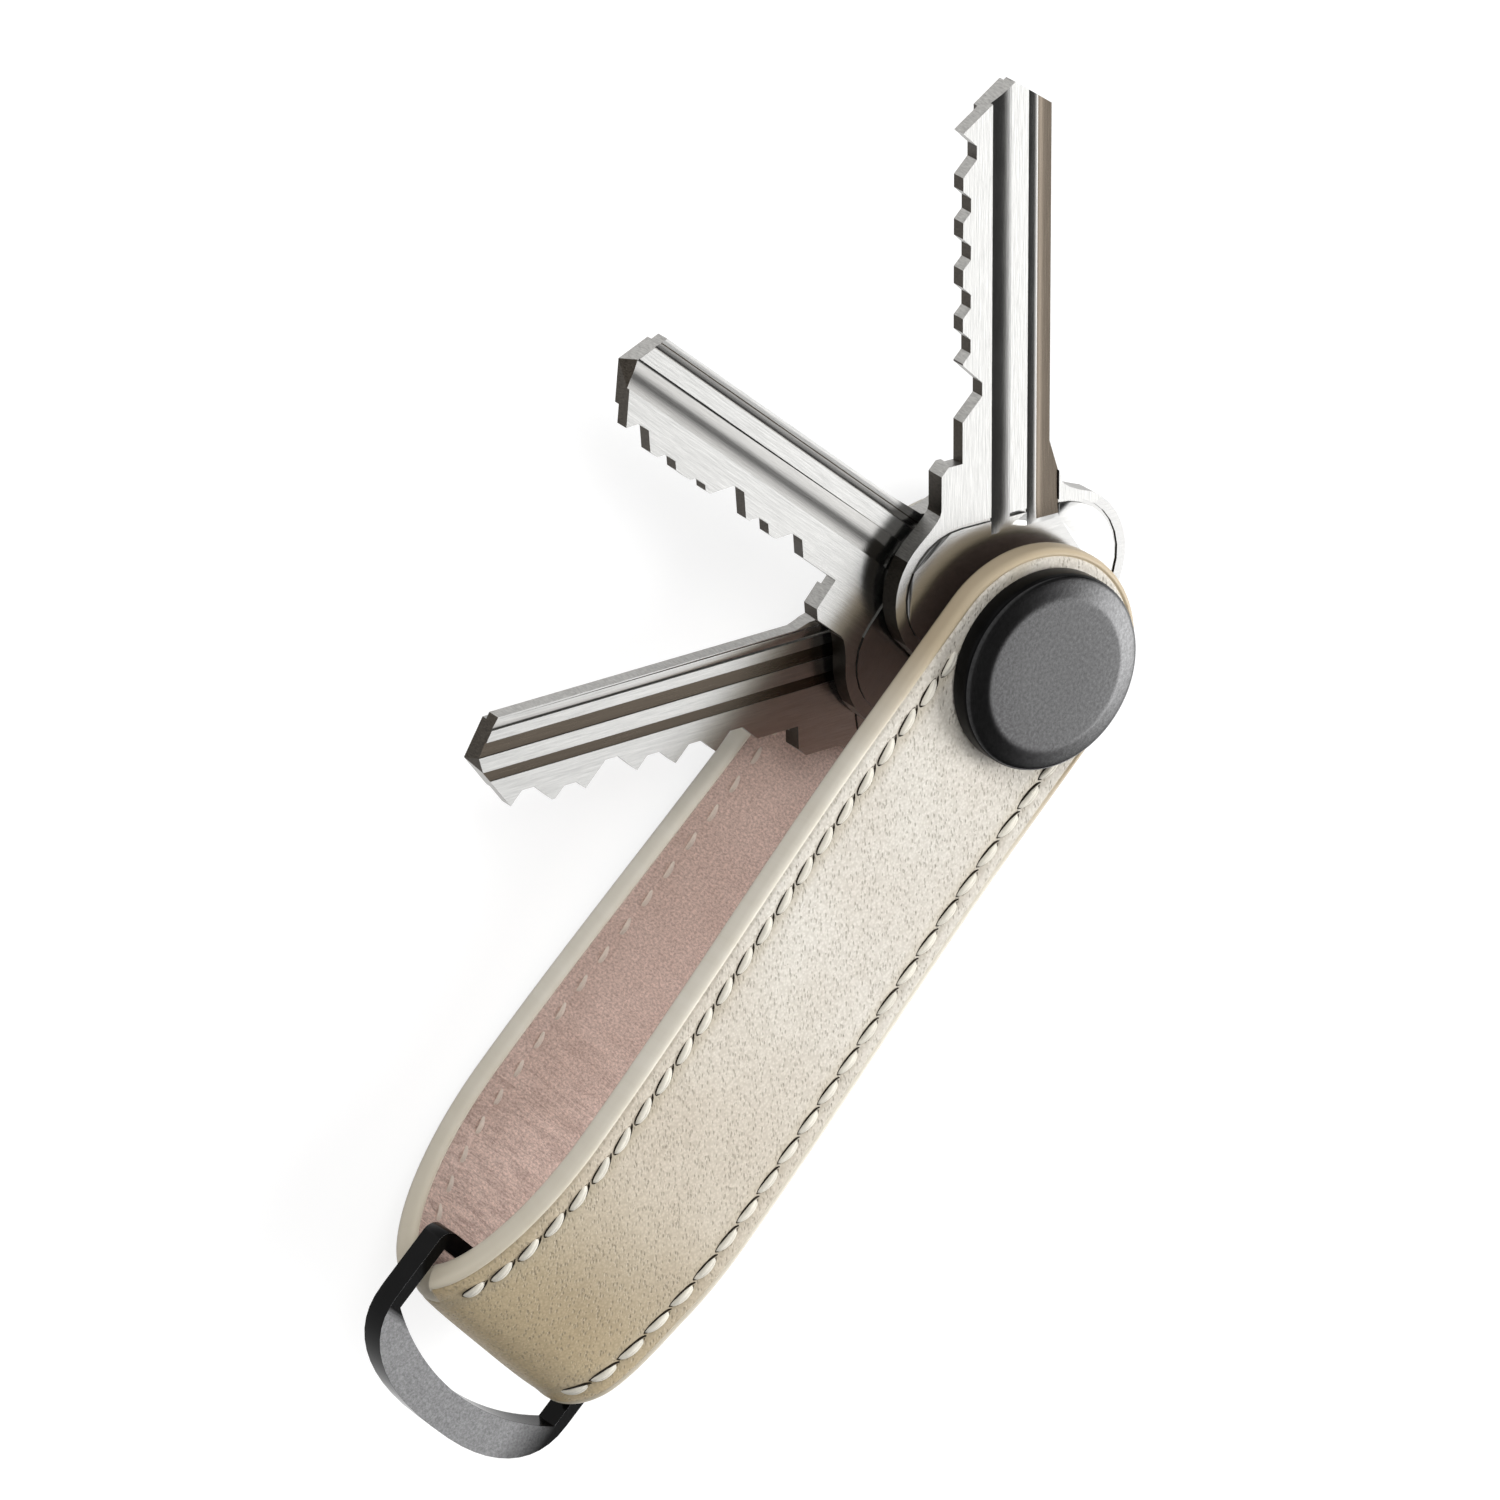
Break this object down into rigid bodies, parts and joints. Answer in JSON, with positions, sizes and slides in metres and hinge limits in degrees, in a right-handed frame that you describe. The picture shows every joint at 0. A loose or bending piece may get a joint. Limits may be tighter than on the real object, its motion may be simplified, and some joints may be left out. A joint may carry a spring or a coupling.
{
  "type": "key organizer",
  "caption": "Folded leather strap that clamps swinging keys on a screwed post, with a D-ring in its bend.",
  "frame": {"origin": "centre of the front cap's flat face, on the axis that the keys turn about", "axes": "+Z out of the front cap along the key axis, +X along the strap from the key axis to the bend and its ring, +Y across the strap"},
  "size_m": [0.1156, 0.059, 0.0201],
  "materials": {
    "beige_leather": "smooth grained, painted edges",
    "pink_brown_lining": "matte, creased",
    "dark_plastic": "matte",
    "white_nylon": "satin",
    "dark_matte_metal": "satin dark coating",
    "black_glossy_metal": "glossy black",
    "steel": "satin",
    "nickel_silver": "bright, nickel plated"
  },
  "bodies": {
    "strap_and_post": {"strap_outer_leather": "beige_leather", "strap_stiffener": "dark_plastic", "strap_lining": "pink_brown_lining", "front_bush": "steel", "back_bush": "steel", "front_cap": "dark_matte_metal", "post_barrel": "steel", "front_spacer": "dark_plastic", "front_friction_washer": "white_nylon", "front_key_washer": "white_nylon", "back_key_washer": "white_nylon", "back_friction_washer": "white_nylon", "wave_washer": "steel", "back_spacer": "dark_plastic"},
    "key_front_body": {"key_front": "nickel_silver"},
    "key_middle_body": {"key_middle": "nickel_silver"},
    "key_back_body": {"key_back": "nickel_silver"},
    "back_screw_body": {"back_screw": "dark_matte_metal"},
    "ring_body": {"d_ring": "black_glossy_metal"}
  },
  "joints": [
    {"name": "key_front_swing", "type": "hinge", "parent": "strap_and_post", "child": "key_front_body", "pos_m": [0, 0, -0.00738], "axis": [0, 0, 1], "range_deg": [-44.5, 315.5]},
    {"name": "key_middle_swing", "type": "hinge", "parent": "strap_and_post", "child": "key_middle_body", "pos_m": [0, 0, -0.00998], "axis": [0, 0, 1], "range_deg": [-93.5, 266.5]},
    {"name": "key_back_swing", "type": "hinge", "parent": "strap_and_post", "child": "key_back_body", "pos_m": [0, 0, -0.01258], "axis": [0, 0, 1], "range_deg": [-135.7, 224.3]},
    {"name": "back_screw_turn", "type": "hinge", "parent": "strap_and_post", "child": "back_screw_body", "pos_m": [0, 0, -0.01793], "axis": [0, 0, 1], "continuous": true},
    {"name": "ring_swing", "type": "hinge", "parent": "strap_and_post", "child": "ring_body", "pos_m": [0.06655, 0, -0.00928], "axis": [-0.0314, -0.9995, 0], "range_deg": [-75, 75]}
  ]
}
